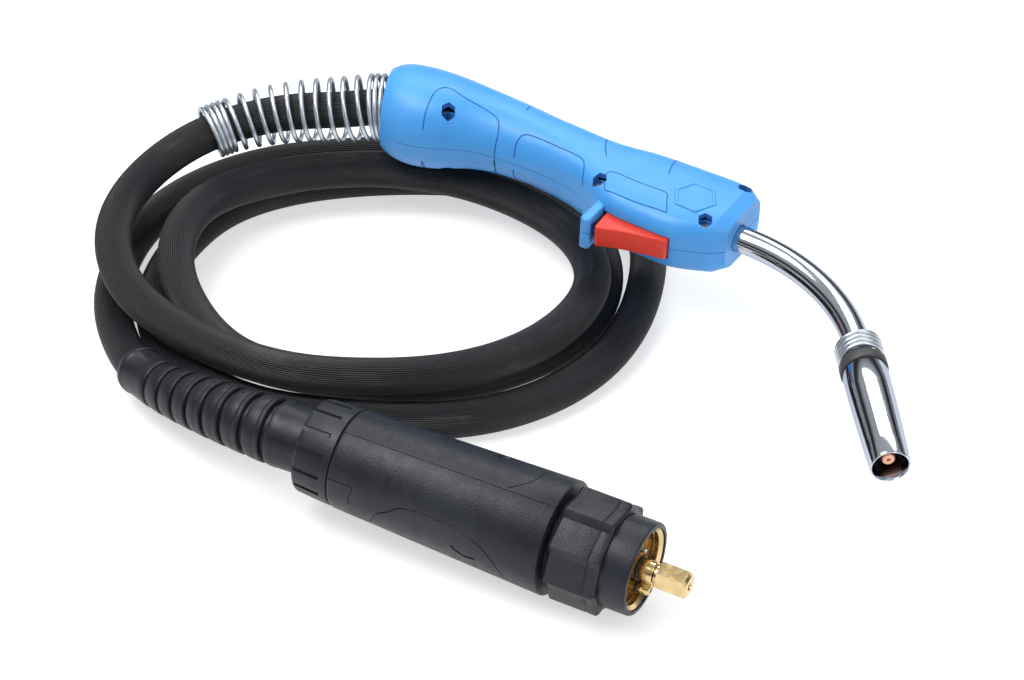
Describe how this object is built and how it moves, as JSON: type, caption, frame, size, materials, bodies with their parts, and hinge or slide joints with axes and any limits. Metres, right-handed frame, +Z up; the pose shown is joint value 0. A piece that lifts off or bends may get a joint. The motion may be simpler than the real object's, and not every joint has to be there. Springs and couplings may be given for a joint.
{
  "type": "mig welding torch",
  "caption": "Welding torch with trigger handle, swan neck and conical gas nozzle, on a coiled rubber hose with a central connector plug.",
  "frame": {"origin": "middle of the footprint of everything but the hose, on the floor the torch lies on", "axes": "+X from the handle rear towards the neck and the plug mouth, the longest way; +Y from the plug towards the handle; +Z up"},
  "size_m": [0.4304, 0.2941, 0.0857],
  "materials": {
    "blue_plastic": "satin glass-filled nylon, moulded",
    "red_plastic": "satin moulded nylon",
    "black_plastic": "fine moulded grain",
    "dark_insulation": "moulded or machined insulator",
    "white_ceramic": "unglazed",
    "black_rubber": "matt, finely ribbed along the hose",
    "chrome_plate": "bright plated",
    "zinc_steel": "bright zinc",
    "brass": "machined",
    "copper": null
  },
  "bodies": {
    "torch": {"bend_boot": "black_rubber", "cable_union_nut": "brass", "cap_nut": "black_plastic", "centre_pin": "brass", "contact_tip": "copper", "front_ferrule": "zinc_steel", "gas_diffuser": "white_ceramic", "gas_nipple": "brass", "handle_lower_shell": "blue_plastic", "handle_nut_1": "zinc_steel", "handle_nut_2": "zinc_steel", "handle_nut_3": "zinc_steel", "handle_nut_4": "zinc_steel", "handle_screw_1": "zinc_steel", "handle_screw_2": "zinc_steel", "handle_screw_3": "zinc_steel", "handle_screw_4": "zinc_steel", "handle_upper_shell": "blue_plastic", "hose": "black_rubber", "housing_far_half": "black_plastic", "housing_near_half": "black_plastic", "housing_screw_1": "zinc_steel", "housing_screw_2": "zinc_steel", "liner_nut": "brass", "neck_block": "brass", "neck_conductor": "copper", "neck_insulator": "dark_insulation", "neck_tube": "chrome_plate", "nipple_o_ring": "black_rubber", "nozzle_ring": "dark_insulation", "nozzle_spring": "chrome_plate", "nut_clip": "zinc_steel", "pin_o_ring": "black_rubber", "pin_sleeve_a": "dark_insulation", "pin_sleeve_b": "dark_insulation", "pin_spring_a": "zinc_steel", "pin_spring_b": "zinc_steel", "plug_body": "brass", "power_cable_tail": "black_rubber", "rear_ferrule": "zinc_steel", "spring_seat": "zinc_steel", "support_spring": "zinc_steel", "switch_body": "black_plastic", "switch_lead_a": "black_rubber", "switch_lead_b": "black_rubber", "tip_holder": "brass", "trigger_pin": "zinc_steel"},
    "trigger": {"trigger": "red_plastic", "trigger_spring": "zinc_steel"},
    "plunger": {"switch_plunger": "black_plastic"},
    "nut": {"adaptor_nut": "black_plastic", "nut_thread_ring": "brass"},
    "pin_a": {"contact_pin_a": "zinc_steel"},
    "pin_b": {"contact_pin_b": "zinc_steel"},
    "nozzle": {"gas_nozzle": "chrome_plate"}
  },
  "joints": [
    {"name": "trigger_press", "type": "hinge", "parent": "torch", "child": "trigger", "pos_m": [0.04329, 0.07827, 0.05666], "axis": [-0.0418, 0.0031, -0.9991], "range_deg": [0, 5.5], "stiffness_Nm_per_rad": 1.2, "springref_deg": -5.73},
    {"name": "plunger_push", "type": "slide", "parent": "torch", "child": "plunger", "axis": [0.0732, 0.9973, 0], "range_m": [0, 0.002]},
    {"name": "nut_spin", "type": "hinge", "parent": "torch", "child": "nut", "pos_m": [0.1207, -0.102, 0.0265], "axis": [0.9995, 0, -0.0314], "continuous": true},
    {"name": "contact_pin_a_push", "type": "slide", "parent": "torch", "child": "pin_a", "axis": [-0.9995, 0, 0.0314], "range_m": [0, 0.0025], "stiffness_N_per_m": 300, "springref_m": -0.003, "deforming": ["pin_spring_a"]},
    {"name": "contact_pin_b_push", "type": "slide", "parent": "torch", "child": "pin_b", "axis": [-0.9995, 0, 0.0314], "range_m": [0, 0.0025], "stiffness_N_per_m": 300, "springref_m": -0.003, "deforming": ["pin_spring_b"]},
    {"name": "nozzle_pull", "type": "slide", "parent": "torch", "child": "nozzle", "axis": [0.5601, -0.828, -0.0259], "range_m": [0, 0.085]}
  ],
  "couplings": [
    {"joint": "plunger_push", "follows": "trigger_press", "m_per_rad": 0.0204}
  ]
}
